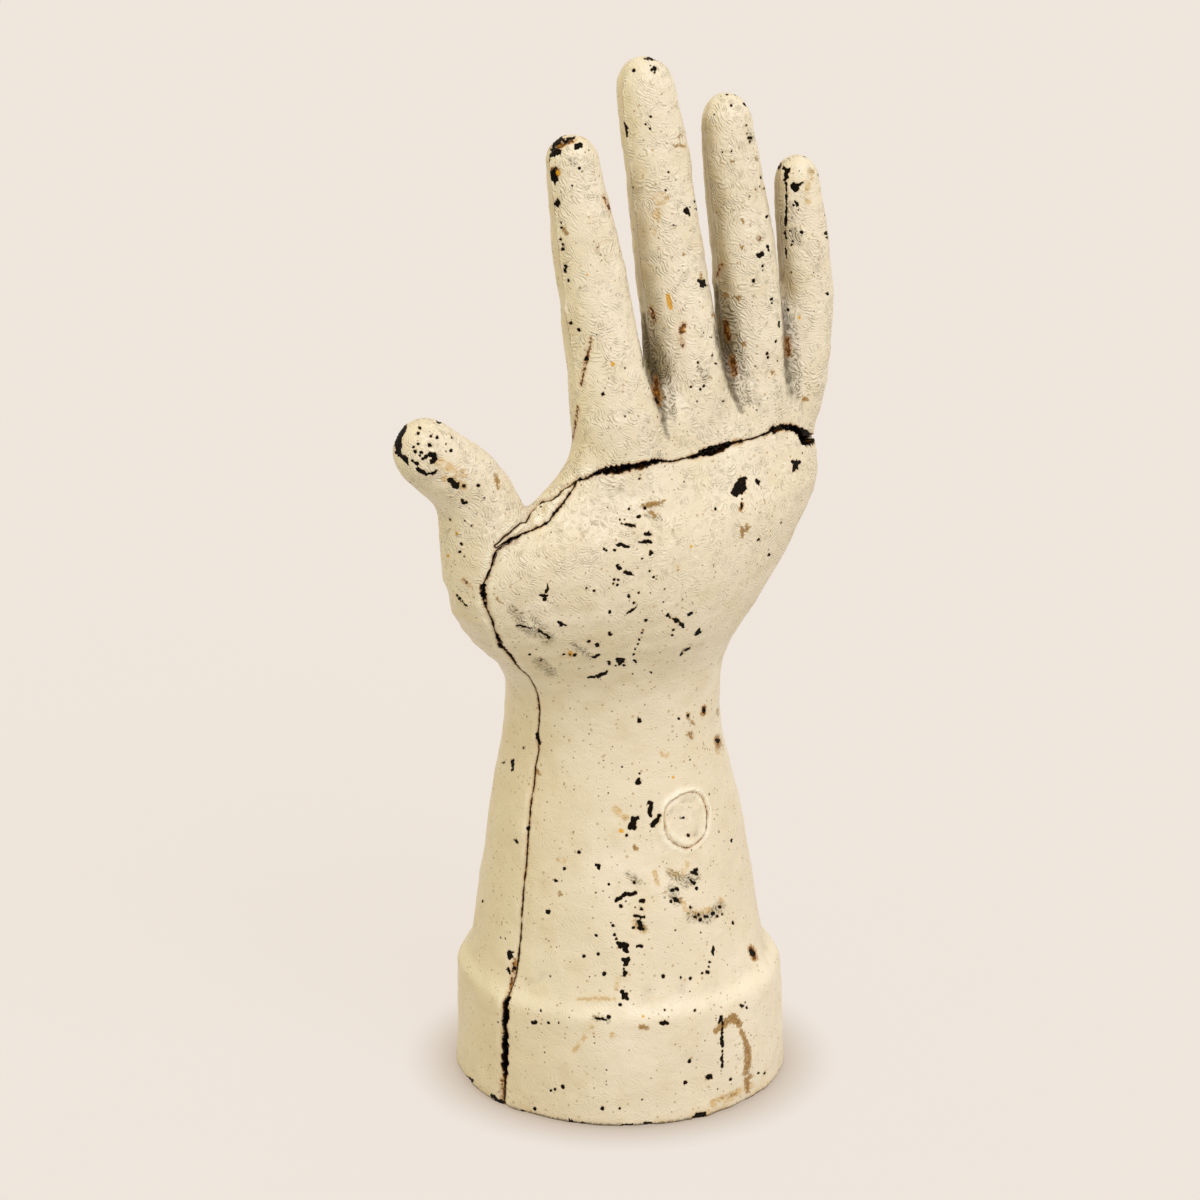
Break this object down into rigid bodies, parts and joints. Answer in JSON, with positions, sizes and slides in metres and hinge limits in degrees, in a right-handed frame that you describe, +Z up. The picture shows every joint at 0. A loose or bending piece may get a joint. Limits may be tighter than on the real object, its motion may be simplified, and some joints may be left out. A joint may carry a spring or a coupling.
{
  "type": "cast iron hand",
  "caption": "Life-size hand standing upright on its forearm and a round foot, fingers raised and thumb spread, a painted cast iron sculpture or paperweight whose palm half is screwed on",
  "frame": {"origin": "centre of the round foot, on the surface that it stands on", "axes": "+Z runs up the forearm to the fingertips, the palm faces -Y and the thumb is on the -X side"},
  "size_m": [0.1403, 0.097, 0.305],
  "materials": {
    "painted_iron": "thick warm ivory enamel put on with a brush, semi-gloss, chipped to a black undercoat and stained with rust",
    "filler": "joint filler, rubbed down and painted over in the same ivory",
    "steel": "plain turned steel, dull"
  },
  "bodies": {
    "root": {"back_casting": "painted_iron", "palm_casting": "painted_iron", "thumb_web_filler": "filler", "screw_plug": "filler", "clamp_screw": "steel", "foot_dowel_thumb_side": "steel", "foot_dowel_little_finger_side": "steel", "palm_dowel_little_finger_side": "steel", "palm_dowel_thumb_side": "steel"}
  },
  "joints": []
}
